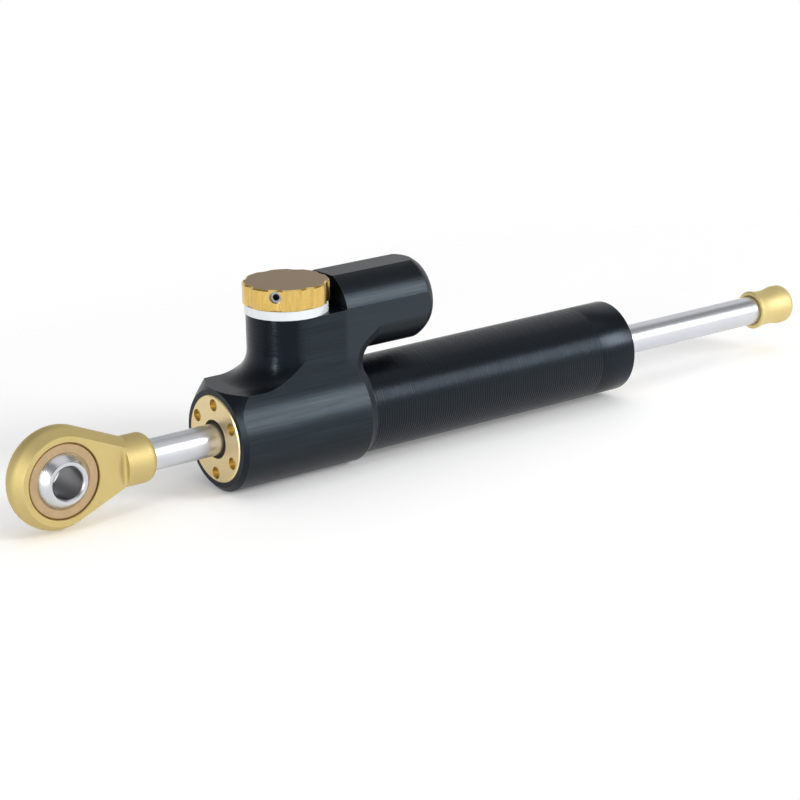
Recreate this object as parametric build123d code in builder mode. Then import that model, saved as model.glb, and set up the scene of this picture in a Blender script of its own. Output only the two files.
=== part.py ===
"""Linear steering damper for a motorcycle, in millimetres.

A chromed rod runs right through a pressure tube and carries a piston. Oil pushed past the
piston returns through the gap round the tube and a needle valve in the boss under the knob.
X runs along the rod, from the rod end towards the end cap. Z runs up the knob's axis.
The origin is on the rod's axis, midway along the part of the tube that a clamp can grip.
"""
import os
from math import acos, atan2, cos, hypot, radians, sin, sqrt, tan

from build123d import *

os.makedirs("parts", exist_ok=True)

# Fits
seat_gap = 0.02
running_gap = 0.04
cut_over = 1.0

# Rod and its travel
rod_r = 4.0
front_reach = 19.4
rear_reach = 54.6
stop_room = 0.6
rod_end_break = 0.5

# Casing: a tube screwed into a housing
casing_length = 127.4
housing_length = 40.9
housing_step = 1.32
tube_wall = 1.6
tube_spigot_step = 0.34
tube_spigot_length = 14.9
tube_end_break = 0.5

# Glands that close the two ends of the casing
gland_lap = 0.36
gland_proud = 0.3
gland_flange = 3.0
gland_spigot = 2.0
gland_edge_break = 0.25
gland_end_room = 0.8
gland_bore_wall = 2.0
gland_wall = 4.64
lip_thickness = 1.0
lip_gap = 0.95
wiper_length = 2.0
wiper_beak = 0.5
wiper_beak_wall = 0.6
seal_wall = 1.2
seal_wall_gap = 0.3
seal_length = 3.0
seal_lip = 0.7
seal_groove_depth = 1.8
bush_length = 11.0
spanner_hole_r = 1.55
spanner_hole_inset = 2.25
spanner_hole_depth = 3.2
spanner_hole_count = 6
drill_half_angle = 59.0
gland_o_ring_place = 13.0
gland_o_ring_groove_depth = 1.29
gland_o_ring_groove_width = 1.7

# Pressure tube inside the casing
oil_gap = 0.64
inner_tube_wall = 0.9
port_r = 1.0
port_setback = 2.0

# Piston
piston_length = 12.0
piston_gap = 0.2
piston_edge_break = 0.4
band_width = 4.0
band_groove_depth = 1.3
bleed_hole_r = 0.7
bleed_hole_count = 4
clip_thickness = 1.0
clip_groove_depth = 0.6
clip_stand = 1.0
clip_gap_angle = 60.0

# Housing: round nose, milled sides and the boss under the knob
nose_break = 1.16
nose_cone_run = 5.0
side_blend_r = 11.23
boss_setback = 3.45
boss_r = 10.2
boss_height = 15.4
swoop_r = 7.0
swoop_sink = 1.01
edge_bevel_length = 2.45
edge_bevel_depth = 1.3
slot_ahead = 3.3
slot_lift = 1.96
slot_r = 7.75
slot_end_angle = 123.5
slot_roof_drop = 2.5
throat_r = 6.0

# Knob and the ring under it
ring_height = 2.24
ring_overhang = 0.25
ring_wall = 2.35
knob_r = 10.85
knob_height = 5.45
knob_edge_break = 0.4
knob_foot_break = 0.25
knob_hub_clearance = 0.2
knob_hub_gap = 0.1
knob_roof = 1.5
scallop_count = 8
scallop_r = 4.2
scallop_depth = 0.55
scallop_turn = -138.0
grub_r = 1.5
grub_drop = 1.9
grub_recess = 0.55
grub_socket_across = 1.5
grub_socket_depth = 2.0

# Clicks: a sprung ball under the knob's hub
click_inset = 1.5
click_ball_r = 0.9
click_ball_sink = 0.5
click_hole_depth = 4.4
click_count = 24
click_dimple_r = 0.7
click_dimple_depth = 0.3
click_wire_r = 0.14
click_spring_turns = 5.0

# Compensating reservoir behind the knob
reservoir_clearance = 0.5
reservoir_length = 27.2
reservoir_r = 10.5
reservoir_drop = 2.16
reservoir_axis_gap = 0.8
reservoir_top_cut = 0.8
reservoir_side_wall = 2.0
reservoir_end_wall = 2.3
reservoir_rim = 1.5
reservoir_rim_wall = 1.1
reservoir_bevel_length = 2.9
reservoir_bevel_swell = 0.15
reservoir_cap_length = 3.0
reservoir_cap_hole_r = 1.0
reservoir_cap_hole_inset = 3.0
reservoir_cap_hole_depth = 1.6
snap_ring_thickness = 1.0
snap_ring_half_width = 0.7
snap_ring_gap_angle = 40.0
reservoir_o_ring_place = 1.4
reservoir_groove_depth = 1.1
reservoir_groove_width = 1.3
reservoir_port_r = 0.9
reservoir_port_rise = 1.6

# Compensator piston and its spring
compensator_setback = 7.0
compensator_length = 5.0
compensator_wall = 2.1
compensator_floor = 2.6
spring_inset = 1.0
spring_wire_r = 0.45
spring_turns = 4.0

# Needle valve in the boss
valve_r = 4.5
valve_floor_wall = 2.86
valve_port_r = 1.2
orifice_r = 0.8
orifice_length = 1.2
needle_chamber_r = 2.0
needle_key_half = 1.5
valve_window_r = 0.6
valve_window_count = 4
valve_window_room = 1.0
valve_groove_depth = 0.9
valve_groove_width = 1.2
valve_lower_groove_rise = 3.0
valve_upper_groove_drop = 4.46
valve_collector_depth = 0.6
valve_collector_width = 2.4
spindle_r = 3.0
spindle_stub_r = 4.0
spindle_thread_r = 1.25
spindle_thread_length = 5.4
spindle_groove_depth = 0.8
spindle_groove_width = 1.0
spindle_flat_depth = 0.6
needle_shank_gap = 0.05
needle_grip = 4.0
needle_cone_length = 2.6
needle_collar_length = 1.9
needle_tip_rise = 0.5
needle_tip_r = 0.15

# Rod end and its spherical bearing
eye_to_collar_end = 25.0
eye_wall = 3.35
eye_half = 4.2
eye_rim_run = 1.85
eye_rim_fall = 3.0
eye_rim_round = 3.2
eye_bore_break = 0.2
neck_inset = 0.05
collar_wall = 2.25
collar_length = 6.8
shoulder_ahead = 1.7
shoulder_round = 0.9
collar_bury = 2.0
collar_rear_round = 2.3
race_wall = 1.56
race_edge_break = 0.45
race_recess = 0.4
ball_r = 7.94
ball_land = 1.2
ball_bore_r = 4.0
ball_bore_break = 0.4
stud_step = 1.0
stud_end_wall = 1.9
socket_depth = 4.0

# End cap
cap_length = 13.0
cap_wall = 1.4
cap_lip = 0.6
cap_waist_depth = 0.55
cap_swell = 9.2
cap_end_wall = 4.8
cap_mouth_break = 0.45
cap_lip_break = 0.35
cap_round = 2.2

# Radii of what fits inside what
gland_bore_r = rod_r + gland_bore_wall
chamber_bore_r = gland_bore_r + gland_wall
tube_r = chamber_bore_r + tube_wall
tube_spigot_r = tube_r - tube_spigot_step
housing_r = tube_r + housing_step
gland_r = chamber_bore_r + gland_lap
inner_tube_r = chamber_bore_r - oil_gap
inner_tube_bore_r = inner_tube_r - inner_tube_wall
piston_r = inner_tube_bore_r - piston_gap
band_groove_r = piston_r - band_groove_depth
bleed_circle_r = (rod_r + band_groove_r) / 2
clip_groove_r = rod_r - clip_groove_depth
clip_r = rod_r + clip_stand
gland_o_ring_groove_r = chamber_bore_r - gland_o_ring_groove_depth
spanner_hole_circle_r = gland_r - spanner_hole_inset
nose_ring_r = housing_r - nose_break

# Places along X, from the middle of the clamp's seat
gland_length = lip_thickness + wiper_length + seal_wall + seal_length + bush_length + gland_end_room
gland_shoulder = gland_length - gland_spigot
front_x = -(housing_length + casing_length) / 2
face_x = front_x + gland_proud
casing_end_x = front_x + casing_length
middle_x = front_x + casing_length / 2
mid_plane = Plane.YZ.offset(middle_x)
housing_end_x = front_x + housing_length
spigot_start_x = housing_end_x - tube_spigot_length
boss_x = front_x + gland_length + boss_setback
collar_end_x = front_x - front_reach
eye_x = collar_end_x - eye_to_collar_end
cap_x = casing_end_x + rear_reach
stroke = front_reach + rear_reach - 2 * stop_room
chamber_length = casing_length - 2 * gland_length
piston_room = (chamber_length - piston_length - stroke) / 2
piston_x = front_x + gland_length + piston_room + rear_reach - stop_room
reservoir_x = boss_x + knob_r + reservoir_clearance
reservoir_end_x = reservoir_x + reservoir_length
reservoir_bore_x = reservoir_x + reservoir_end_wall
snap_ring_x = reservoir_end_x - reservoir_rim - snap_ring_thickness
reservoir_cap_x = snap_ring_x - reservoir_cap_length
compensator_x = reservoir_bore_x + compensator_setback

# Heights above the rod's axis
boss_top = housing_r + boss_height
swoop_floor = housing_r - swoop_sink
ring_top = boss_top + ring_height
knob_bottom = ring_top + running_gap
knob_top = knob_bottom + knob_height
hub_bottom = boss_top + knob_hub_gap
knob_bore_top = knob_top - knob_roof
grub_height = knob_top - grub_drop
reservoir_upper_axis = boss_top - reservoir_drop
reservoir_lower_axis = reservoir_upper_axis - reservoir_axis_gap
reservoir_bore_axis = (reservoir_upper_axis + reservoir_lower_axis) / 2
reservoir_top = reservoir_upper_axis + reservoir_r - reservoir_top_cut
reservoir_bore_r = boss_r - reservoir_side_wall
port_height = reservoir_bore_axis - reservoir_bore_r + reservoir_port_rise
valve_floor = chamber_bore_r + valve_floor_wall
needle_chamber_z = valve_floor + orifice_length
spindle_bottom = port_height + valve_window_room
lower_groove_z = valve_floor + valve_lower_groove_rise
upper_groove_z = boss_top - valve_upper_groove_drop
click_ball_z = boss_top - click_ball_sink
bore_axis = Axis((reservoir_x, 0, reservoir_bore_axis), (1, 0, 0))
boss_axis = Axis((boss_x, 0, 0), (0, 0, 1))
pieces = []


def keep(builder, label):
    """Label a finished piece and write it to its own file."""
    builder.part.label = label
    export_step(builder.part, f"parts/{label}.step")
    pieces.append(builder.part)


def band(x_from, x_to, r_from, r_to, mode=Mode.ADD):
    """Add a rectangle to a turned profile: two places on X and two radii."""
    with Locations(((x_from + x_to) / 2, (r_from + r_to) / 2)):
        Rectangle(x_to - x_from, r_to - r_from, mode=mode)


def upright_band(r_from, r_to, z_from, z_to, mode=Mode.ADD):
    """Add a rectangle to a profile that turns round the boss's axis."""
    band(boss_x + r_from, boss_x + r_to, z_from, z_to, mode)


def edges_at(part_edges, axis_name, place, radius):
    """The round edges at one place on an axis that have one radius."""
    found = part_edges.filter_by(GeomType.CIRCLE)
    found = found.filter_by(lambda edge: abs(edge.radius - radius) < seat_gap / 2)
    return found.filter_by(lambda edge: abs(getattr(edge.center(), axis_name) - place) < seat_gap)


def o_ring(place, groove_r, bore_r):
    """A round-section seal round the rod's axis, between a groove's floor and a bore."""
    section_r = (bore_r - groove_r) / 2 - seat_gap / 2
    with Locations(Plane.YZ.offset(place)):
        Torus((bore_r + groove_r) / 2, section_r)


def open_ring(x_from, thickness, bore_r, outer_r, gap_angle, axis_height=0):
    """A flat snap ring square to X, with its gap at the bottom."""
    half = radians(gap_angle / 2)
    reach = outer_r + cut_over
    with BuildPart() as ring:
        with BuildSketch(Plane((x_from, 0, axis_height), x_dir=(0, 1, 0), z_dir=(1, 0, 0))):
            Circle(outer_r)
            Circle(bore_r, mode=Mode.SUBTRACT)
            with BuildLine():
                Polyline((0, 0), (reach * tan(half), -reach), (-reach * tan(half), -reach), close=True)
            make_face(mode=Mode.SUBTRACT)
        extrude(amount=thickness)
    return ring.part


def coil(start, direction, mean_r, wire_r, length, turns):
    """A round wire wound into an open coil."""
    with BuildPart() as spring:
        with BuildLine() as path:
            Helix(length / turns, length, mean_r, center=start, direction=direction)
        with BuildSketch(Plane(origin=path.line @ 0, z_dir=path.line % 0)):
            Circle(wire_r)
        sweep(is_frenet=True)
    return spring.part


# Housing
side_foot = sqrt((housing_r + side_blend_r) ** 2 - (boss_r + side_blend_r) ** 2)
blend_share = housing_r / (housing_r + side_blend_r)
foot_y = (boss_r + side_blend_r) * blend_share
foot_z = side_foot * blend_share

# The right-hand end of the block is drawn at its full depth, inside its bevel
wall_slot_r = slot_r - edge_bevel_length
wall_throat_r = throat_r + edge_bevel_length
slot_x = housing_end_x + slot_ahead
slot_z = tube_r + slot_lift
slot_roof = reservoir_lower_axis - slot_roof_drop
throat_x = housing_end_x - wall_throat_r
throat_z = slot_z - sqrt((wall_throat_r + wall_slot_r) ** 2 - (slot_x - throat_x) ** 2)
meet_share = wall_throat_r / (wall_throat_r + wall_slot_r)
meet_point = (throat_x + (slot_x - throat_x) * meet_share, throat_z + (slot_z - throat_z) * meet_share)
roof_turn = radians(slot_end_angle)
roof_start = (slot_x + wall_slot_r * cos(roof_turn), slot_z + wall_slot_r * sin(roof_turn))
roof_run = (slot_roof - roof_start[1]) / -cos(roof_turn)
roof_end = (roof_start[0] + roof_run * sin(roof_turn), slot_roof)
block_length = roof_end[0] - face_x

click_circle_r = boss_r + ring_overhang - ring_wall - knob_hub_clearance - click_inset

with BuildPart() as housing:
    with BuildSketch(Plane.YZ.offset(face_x)):
        Circle(housing_r)
    extrude(amount=block_length)
    with BuildSketch(Plane.YZ.offset(face_x)):
        with BuildLine():
            Line((-foot_y, foot_z), (foot_y, foot_z))
            TangentArc((boss_r, side_foot), (foot_y, foot_z), tangent=(0, -1))
            Line((boss_r, side_foot), (boss_r, boss_top))
            Line((boss_r, boss_top), (-boss_r, boss_top))
            Line((-boss_r, boss_top), (-boss_r, side_foot))
            TangentArc((-boss_r, side_foot), (-foot_y, foot_z), tangent=(0, -1))
        make_face()
    extrude(amount=block_length)

    # Everything right of the S-shaped end goes
    with BuildSketch(Plane.XZ):
        with BuildLine():
            below = -housing_r - cut_over
            beyond = roof_end[0] + cut_over
            Line((housing_end_x, below), (housing_end_x, throat_z))
            TangentArc((housing_end_x, throat_z), meet_point, tangent=(0, 1))
            ThreePointArc(meet_point, (slot_x - wall_slot_r, slot_z), roof_start)
            Polyline(roof_start, roof_end, (beyond, roof_end[1]), (beyond, below), (housing_end_x, below))
        make_face()
    extrude(amount=housing_r + cut_over, both=True, mode=Mode.SUBTRACT)

    # One long bevel follows that end all the way round
    end_edge = edges_at(housing.edges(), "X", housing_end_x, housing_r).sort_by(SortBy.LENGTH)[-1]
    end_sides = [f for f in housing.faces() if any(e.is_same(end_edge) for e in f.edges())]
    round_side = ShapeList(end_sides).filter_by(GeomType.CYLINDER)[0]
    chamfer(end_edge, length=edge_bevel_length, length2=edge_bevel_depth, reference=round_side)

    # Reservoir, with its open end turned round the bore's axis
    with BuildSketch(Plane.YZ.offset(reservoir_x)):
        for axis_height in (reservoir_upper_axis, reservoir_lower_axis):
            with Locations((0, axis_height)):
                Circle(reservoir_r)
        with Locations((0, reservoir_bore_axis)):
            Rectangle(2 * reservoir_r, reservoir_axis_gap)
        with Locations((0, reservoir_top)):
            Rectangle(2 * boss_r, 2 * reservoir_r + reservoir_axis_gap,
                      align=(Align.CENTER, Align.MAX), mode=Mode.INTERSECT)
    extrude(amount=reservoir_length)
    bevel_x = reservoir_end_x - reservoir_bevel_length
    bevel_z = reservoir_bore_axis + reservoir_r + reservoir_axis_gap / 2
    rim_z = reservoir_bore_axis + reservoir_bore_r + reservoir_rim_wall
    with BuildSketch(Plane.XZ):
        with BuildLine():
            ThreePointArc((bevel_x, bevel_z),
                          ((bevel_x + reservoir_end_x) / 2, (bevel_z + rim_z) / 2 + reservoir_bevel_swell),
                          (reservoir_end_x, rim_z))
            Polyline((reservoir_end_x, rim_z), (reservoir_end_x + cut_over, rim_z),
                     (reservoir_end_x + cut_over, bevel_z + cut_over), (bevel_x, bevel_z + cut_over),
                     (bevel_x, bevel_z))
        make_face()
    revolve(axis=bore_axis, mode=Mode.SUBTRACT)

    # Swept boss: everything in front of the knob's axis and outside the boss goes
    with BuildSketch(Plane.YZ.offset(boss_x)):
        with BuildLine():
            outside = boss_x - face_x + boss_r
            above = reservoir_top + cut_over
            swoop_top = swoop_floor + swoop_r
            Line((boss_r, above), (boss_r, swoop_top))
            TangentArc((boss_r, swoop_top), (boss_r + swoop_r, swoop_floor), tangent=(0, -1))
            Polyline((boss_r + swoop_r, swoop_floor), (outside, swoop_floor), (outside, above), (boss_r, above))
        make_face()
    revolve(axis=boss_axis, revolution_arc=180, mode=Mode.SUBTRACT)

    # Turned nose
    with BuildSketch(Plane.XZ):
        with BuildLine():
            Polyline((face_x, nose_ring_r), (face_x + nose_cone_run, nose_ring_r + nose_cone_run),
                     (face_x - cut_over, nose_ring_r + nose_cone_run), (face_x - cut_over, nose_ring_r),
                     close=True)
        make_face()
    revolve(axis=Axis.X, mode=Mode.SUBTRACT)

    # Bores along the rod's axis
    with BuildSketch(Plane.XZ):
        band(face_x - cut_over, front_x + gland_flange, 0, gland_r + seat_gap)
        band(front_x + gland_flange, spigot_start_x, 0, chamber_bore_r)
        band(spigot_start_x, housing_end_x + cut_over, 0, tube_spigot_r + seat_gap)
    revolve(axis=Axis.X, mode=Mode.SUBTRACT)

    # Bore, snap ring groove and port of the reservoir
    with BuildSketch(Plane.YZ.offset(reservoir_bore_x)):
        with Locations((0, reservoir_bore_axis)):
            Circle(reservoir_bore_r + seat_gap)
    extrude(amount=reservoir_length, mode=Mode.SUBTRACT)
    with BuildSketch(Plane.YZ.offset(snap_ring_x)):
        with Locations((0, reservoir_bore_axis)):
            Circle(reservoir_bore_r + snap_ring_half_width + seat_gap)
    extrude(amount=snap_ring_thickness + seat_gap, mode=Mode.SUBTRACT)
    with BuildSketch(Plane.YZ.offset(boss_x)):
        with Locations((0, port_height)):
            Circle(reservoir_port_r)
    extrude(amount=reservoir_bore_x - boss_x + cut_over, mode=Mode.SUBTRACT)

    # Valve bore, its port down to the oil gap, and the hole for the click ball
    with BuildSketch(Plane.XY.offset(valve_floor)):
        with Locations((boss_x, 0)):
            Circle(valve_r + seat_gap)
    extrude(amount=boss_top, mode=Mode.SUBTRACT)
    with BuildSketch(Plane.XY.offset(chamber_bore_r - cut_over)):
        with Locations((boss_x, 0)):
            Circle(valve_port_r)
    extrude(amount=valve_floor_wall + 2 * cut_over, mode=Mode.SUBTRACT)
    with BuildSketch(Plane.XY.offset(boss_top - click_hole_depth)):
        with Locations((boss_x, click_circle_r)):
            Circle(click_ball_r + running_gap)
    extrude(amount=click_hole_depth, mode=Mode.SUBTRACT)
keep(housing, "housing")

# Outer tube, screwed into the housing
with BuildPart() as damper_tube:
    with BuildSketch(Plane.XZ):
        band(spigot_start_x, housing_end_x, chamber_bore_r, tube_spigot_r)
        band(housing_end_x, casing_end_x, chamber_bore_r, tube_r)
        band(casing_end_x - gland_flange, casing_end_x, 0, gland_r + seat_gap, Mode.SUBTRACT)
    revolve(axis=Axis.X)
    chamfer(edges_at(damper_tube.edges(), "X", casing_end_x, tube_r), length=tube_end_break)
keep(damper_tube, "damper_tube")

# Pressure tube between the glands, with oil ports near its ends
with BuildPart() as inner_tube:
    with BuildSketch(Plane.XZ):
        band(front_x + gland_shoulder, casing_end_x - gland_shoulder, inner_tube_bore_r, inner_tube_r)
    revolve(axis=Axis.X)
    for port_x in (boss_x, casing_end_x - gland_length - port_setback):
        for plane in (Plane.XY, Plane.XZ):
            with BuildSketch(plane):
                with Locations((port_x, 0)):
                    Circle(port_r)
            extrude(amount=inner_tube_r + cut_over, both=True, mode=Mode.SUBTRACT)
keep(inner_tube, "inner_tube")

# Front gland and what sits in it
wiper_x = front_x + lip_thickness
seal_x = wiper_x + wiper_length + seal_wall
bush_x = seal_x + seal_length
body_r = chamber_bore_r - seat_gap
rod_clearance_r = rod_r + seal_wall_gap
with BuildPart() as front_gland:
    with BuildSketch(Plane.XZ):
        band(front_x, front_x + gland_flange, rod_clearance_r, gland_r)
        band(front_x, front_x + gland_shoulder, rod_clearance_r, body_r)
        band(front_x, front_x + gland_length, rod_clearance_r, inner_tube_bore_r - seat_gap)
        band(front_x, wiper_x, 0, rod_r + lip_gap, Mode.SUBTRACT)
        band(wiper_x, wiper_x + wiper_length, 0, gland_bore_r + seat_gap, Mode.SUBTRACT)
        band(seal_x, front_x + gland_length, 0, gland_bore_r + seat_gap, Mode.SUBTRACT)
        groove_start = front_x + gland_o_ring_place - gland_o_ring_groove_width / 2
        band(groove_start, groove_start + gland_o_ring_groove_width, gland_o_ring_groove_r,
             chamber_bore_r, Mode.SUBTRACT)
    revolve(axis=Axis.X)
    chamfer(edges_at(front_gland.edges(), "X", front_x, gland_r), length=gland_edge_break)
    with Locations(Plane.YZ.offset(front_x)):
        with PolarLocations(spanner_hole_circle_r, spanner_hole_count, start_angle=90):
            Cylinder(spanner_hole_r, spanner_hole_depth,
                     align=(Align.CENTER, Align.CENTER, Align.MIN), mode=Mode.SUBTRACT)
    with Locations(Plane.YZ.offset(front_x + spanner_hole_depth)):
        with PolarLocations(spanner_hole_circle_r, spanner_hole_count, start_angle=90):
            Cone(spanner_hole_r, 0, spanner_hole_r / tan(radians(drill_half_angle)),
                 align=(Align.CENTER, Align.CENTER, Align.MIN), mode=Mode.SUBTRACT)
keep(front_gland, "front_gland")

with BuildPart() as front_wiper:
    with BuildSketch(Plane.XZ):
        with BuildLine():
            wiper_bore_r = rod_r + running_gap
            Polyline((wiper_x - wiper_beak, wiper_bore_r), (wiper_x + wiper_length, wiper_bore_r),
                     (wiper_x + wiper_length, gland_bore_r), (wiper_x, gland_bore_r),
                     (wiper_x, rod_r + wiper_beak_wall), close=True)
        make_face()
    revolve(axis=Axis.X)
keep(front_wiper, "front_wiper")

with BuildPart() as front_rod_seal:
    with BuildSketch(Plane.XZ):
        band(seal_x, bush_x, rod_r + running_gap, gland_bore_r)
        band(bush_x - seal_groove_depth, bush_x, rod_r + seal_lip, gland_bore_r - seal_lip,
             Mode.SUBTRACT)
    revolve(axis=Axis.X)
keep(front_rod_seal, "front_rod_seal")

with BuildPart() as front_guide_bush:
    with BuildSketch(Plane.XZ):
        band(bush_x, bush_x + bush_length, rod_r + running_gap, gland_bore_r)
    revolve(axis=Axis.X)
keep(front_guide_bush, "front_guide_bush")

with BuildPart() as front_gland_o_ring:
    o_ring(front_x + gland_o_ring_place, gland_o_ring_groove_r, chamber_bore_r)
keep(front_gland_o_ring, "front_gland_o_ring")

# The rear gland set mirrors the front one
front_set = {
    "rear_gland": front_gland,
    "rear_wiper": front_wiper,
    "rear_rod_seal": front_rod_seal,
    "rear_guide_bush": front_guide_bush,
    "rear_gland_o_ring": front_gland_o_ring,
}
for rear_name, front_piece in front_set.items():
    with BuildPart() as rear_piece:
        mirror(front_piece.part, about=mid_plane)
    keep(rear_piece, rear_name)

# Through rod, with grooves for the piston's snap rings and a threaded stud
race_r = ball_r + race_wall
stud_r = rod_r - stud_step
stud_x = collar_end_x - socket_depth
stud_length = eye_to_collar_end - socket_depth - stud_end_wall - race_r
rod_end_x = cap_x + cap_length - cap_end_wall
with BuildPart() as rod:
    with BuildSketch(Plane.XZ):
        band(stud_x, rod_end_x, 0, rod_r)
        band(stud_x - stud_length, stud_x, 0, stud_r)
        for clip_x in (piston_x - clip_thickness, piston_x + piston_length):
            band(clip_x, clip_x + clip_thickness, clip_groove_r, rod_r + cut_over, Mode.SUBTRACT)
    revolve(axis=Axis.X)
    chamfer(edges_at(rod.edges(), "X", stud_x - stud_length, stud_r), length=rod_end_break)
    chamfer(edges_at(rod.edges(), "X", rod_end_x, rod_r), length=rod_end_break)
keep(rod, "rod")

band_x = piston_x + (piston_length - band_width) / 2
with BuildPart() as piston:
    with BuildSketch(Plane.XZ):
        band(piston_x, piston_x + piston_length, rod_r + seat_gap, piston_r)
        band(band_x, band_x + band_width, band_groove_r, piston_r + cut_over, Mode.SUBTRACT)
    revolve(axis=Axis.X)
    for end_x in (piston_x, piston_x + piston_length):
        chamfer(edges_at(piston.edges(), "X", end_x, piston_r), length=piston_edge_break)
    with Locations(Plane.YZ.offset(piston_x)):
        with PolarLocations(bleed_circle_r, bleed_hole_count, start_angle=45):
            Cylinder(bleed_hole_r, 2 * piston_length + cut_over, mode=Mode.SUBTRACT)
keep(piston, "piston")

with BuildPart() as piston_band:
    with BuildSketch(Plane.XZ):
        band(band_x + running_gap, band_x + band_width - running_gap,
             band_groove_r + running_gap, inner_tube_bore_r - running_gap)
    revolve(axis=Axis.X)
keep(piston_band, "piston_band")

with BuildPart() as piston_clips:
    for clip_x in (piston_x - clip_thickness, piston_x + piston_length):
        add(open_ring(clip_x, clip_thickness, clip_groove_r + seat_gap, clip_r, clip_gap_angle))
keep(piston_clips, "piston_clips")

# Rod end: a teardrop eye with a rounded rim, and a turned collar
eye_r = race_r + eye_wall
collar_r = rod_r + collar_wall
neck_half = collar_r - neck_inset
neck_length = eye_to_collar_end - collar_length
neck_x = eye_x + neck_length
touch_turn = atan2(neck_half, neck_length) + acos(eye_r / hypot(neck_half, neck_length))
touch_x = eye_x + eye_r * cos(touch_turn)
touch_z = eye_r * sin(touch_turn)
with BuildPart() as rod_end_eye:
    with BuildSketch(Plane.XZ):
        with BuildLine():
            ThreePointArc((touch_x, touch_z), (eye_x - eye_r, 0), (touch_x, -touch_z))
            Polyline((touch_x, -touch_z), (neck_x, -neck_half), (neck_x, neck_half), (touch_x, touch_z))
        make_face()
    extrude(amount=eye_half, both=True)
    for face in (rod_end_eye.faces().sort_by(Axis.Y)[0], rod_end_eye.faces().sort_by(Axis.Y)[-1]):
        rim = face.edges().filter_by(lambda edge: edge.center().X < neck_x - seat_gap)
        chamfer(rim, length=eye_rim_run, length2=eye_rim_fall, reference=face)
    rim = rod_end_eye.edges().filter_by(lambda edge: edge.center().X < neck_x - seat_gap)
    rim = rim.filter_by(lambda edge: abs(abs(edge.center().Y) - eye_half + eye_rim_fall) < seat_gap)
    fillet(rim, radius=eye_rim_round)
    with BuildSketch(Plane.XZ):
        with Locations((eye_x, 0)):
            Circle(race_r + seat_gap)
    extrude(amount=eye_half + cut_over, both=True, mode=Mode.SUBTRACT)
    bore_edges = rod_end_eye.edges().filter_by(GeomType.CIRCLE)
    bore_edges = bore_edges.filter_by(lambda edge: abs(edge.radius - race_r - seat_gap) < seat_gap / 2)
    chamfer(bore_edges, length=eye_bore_break)
    shoulder_x = neck_x - shoulder_ahead
    with BuildSketch(Plane.XZ):
        band(shoulder_x - collar_bury, collar_end_x, 0, collar_r)
        fillet(vertices().sort_by(Axis.X)[-2:].sort_by(Axis.Y)[-1], radius=collar_rear_round)
    revolve(axis=Axis.X)
    with BuildSketch(Plane.XY) as flat_end:
        band(shoulder_x - collar_bury - cut_over, shoulder_x, eye_half, collar_r + cut_over)
        fillet(vertices().group_by(Axis.X)[-1].sort_by(Axis.Y)[0], radius=shoulder_round)
        mirror(about=Plane.XZ)
    extrude(amount=collar_r, both=True, mode=Mode.SUBTRACT)
    with BuildSketch(Plane.XZ):
        band(stud_x, collar_end_x + cut_over, 0, rod_r + seat_gap)
        band(stud_x - stud_length, stud_x, 0, stud_r + seat_gap)
    revolve(axis=Axis.X, mode=Mode.SUBTRACT)
keep(rod_end_eye, "rod_end_eye")

# Spherical bearing: both turn round the line through the eye
bearing_axis = Axis((eye_x, 0, 0), (0, 1, 0))
ball_half = sqrt(ball_r**2 - (ball_bore_r + ball_land) ** 2)
with BuildPart() as bearing_race:
    with BuildSketch(Plane.XY):
        with Locations((eye_x + race_r / 2, 0)):
            Rectangle(race_r, 2 * (eye_half - race_recess))
        chamfer(vertices().group_by(Axis.X)[-1], length=race_edge_break)
        with Locations((eye_x, 0)):
            Circle(ball_r + running_gap, mode=Mode.SUBTRACT)
    revolve(axis=bearing_axis)
keep(bearing_race, "bearing_race")

with BuildPart() as bearing_ball:
    with BuildSketch(Plane.XY):
        with Locations((eye_x, 0)):
            Circle(ball_r)
        with Locations((eye_x + ball_bore_r, 0)):
            Rectangle(ball_r, 2 * ball_half, align=(Align.MIN, Align.CENTER), mode=Mode.INTERSECT)
        chamfer(vertices().group_by(Axis.X)[0], length=ball_bore_break)
    revolve(axis=bearing_axis)
keep(bearing_ball, "bearing_ball")

# End cap
cap_end_x = cap_x + cap_length
cap_r = rod_r + cap_wall
with BuildPart() as end_cap:
    with BuildSketch(Plane.XZ):
        with BuildLine():
            lip_x = cap_x + cap_lip
            swell_x = cap_x + cap_swell
            waist_x = (lip_x + swell_x) / 2
            Polyline((cap_end_x, cap_r), (cap_end_x, 0), (cap_x, 0), (cap_x, cap_r), (lip_x, cap_r))
            ThreePointArc((lip_x, cap_r), (waist_x, cap_r - cap_waist_depth), (swell_x, cap_r))
            Line((swell_x, cap_r), (cap_end_x, cap_r))
        make_face()
        band(cap_x, rod_end_x, 0, rod_r + seat_gap, Mode.SUBTRACT)
    revolve(axis=Axis.X)
    fillet(edges_at(end_cap.edges(), "X", cap_end_x, cap_r), radius=cap_round)
    chamfer(edges_at(end_cap.edges(), "X", cap_x, cap_r), length=cap_lip_break)
    chamfer(edges_at(end_cap.edges(), "X", cap_x, rod_r + seat_gap), length=cap_mouth_break)
keep(end_cap, "end_cap")

# Ring under the knob
ring_r = boss_r + ring_overhang
ring_bore_r = ring_r - ring_wall
with BuildPart() as knob_ring:
    with BuildSketch(Plane.XZ):
        upright_band(ring_bore_r, ring_r, boss_top, ring_top)
    revolve(axis=boss_axis)
keep(knob_ring, "knob_ring")

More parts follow.
